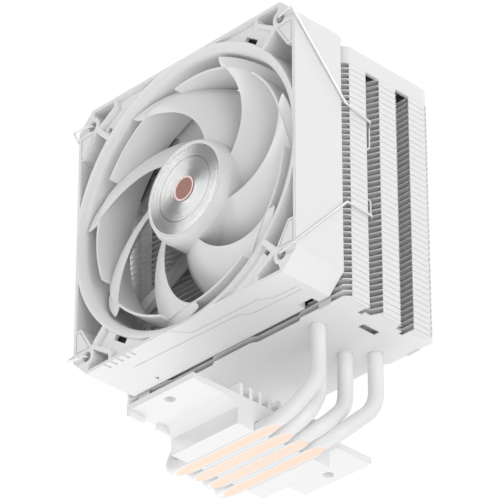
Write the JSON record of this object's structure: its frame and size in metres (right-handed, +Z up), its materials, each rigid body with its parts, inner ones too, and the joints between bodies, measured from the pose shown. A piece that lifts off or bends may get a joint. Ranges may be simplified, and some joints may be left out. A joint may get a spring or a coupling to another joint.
{
  "type": "cpu tower cooler",
  "caption": "White processor cooler: a finned tower on bent heat pipes over a direct-contact base, with a wire-clipped axial fan in front.",
  "frame": {"origin": "centre of the contact face that sits on the processor", "axes": "+Z up along the tower, -Y towards the front of the fan, +X to the right seen from the fan"},
  "size_m": [0.1232, 0.0934, 0.1643],
  "materials": {
    "white_plastic": "satin moulded white plastic",
    "white_metal": "white powder coat on aluminium or copper",
    "white_fin": "white coated aluminium sheet",
    "white_block": "white coated extruded aluminium",
    "trim": "turned, radially brushed aluminium",
    "centre": "rose brown anodised aluminium",
    "spring_wire": "spring steel wire, coated pale",
    "black_rubber": "black rubber",
    "steel": "plain steel",
    "lamination": "stamped silicon steel",
    "magnet": "bonded ferrite in rubber",
    "bronze": "sintered bronze",
    "copper_wire": "enamelled copper wire",
    "nylon": "natural nylon",
    "dark_plastic": "dark plastic",
    "board": "glass fibre board with green resist"
  },
  "bodies": {
    "cooler": {"fan_frame": "white_plastic", "rubber_pads": "black_rubber", "sleeve_bearing": "bronze", "bearing_cap": "dark_plastic", "stator_core": "lamination", "stator_insulators": "nylon", "stator_coils": "copper_wire", "motor_board": "board", "fins": "white_fin", "top_cover": "white_plastic", "heat_pipe_1": "white_metal", "heat_pipe_2": "white_metal", "heat_pipe_3": "white_metal", "heat_pipe_4": "white_metal", "base_block": "white_block"},
    "rotor": {"impeller": "white_plastic", "hub_trim_disc": "trim", "hub_centre_disc": "centre", "rotor_cup": "steel", "magnet_ring": "magnet", "shaft": "steel", "shaft_bush": "bronze", "shaft_clip": "nylon"},
    "right_clip": {"clip_right": "spring_wire"},
    "left_clip": {"clip_left": "spring_wire"}
  },
  "joints": [
    {"name": "rotor_spin", "type": "hinge", "parent": "cooler", "child": "rotor", "pos_m": [0, -0.0235, 0.1043], "axis": [0, -1, 0], "continuous": true},
    {"name": "right_clip_swing", "type": "hinge", "parent": "cooler", "child": "right_clip", "pos_m": [0.0525, -0.03695, 0.1043], "axis": [0, 0, -1], "range_deg": [0, 14], "stiffness_Nm_per_rad": 0.2},
    {"name": "left_clip_swing", "type": "hinge", "parent": "cooler", "child": "left_clip", "pos_m": [-0.0525, -0.03695, 0.1043], "axis": [0, 0, 1], "range_deg": [0, 14], "stiffness_Nm_per_rad": 0.2}
  ]
}
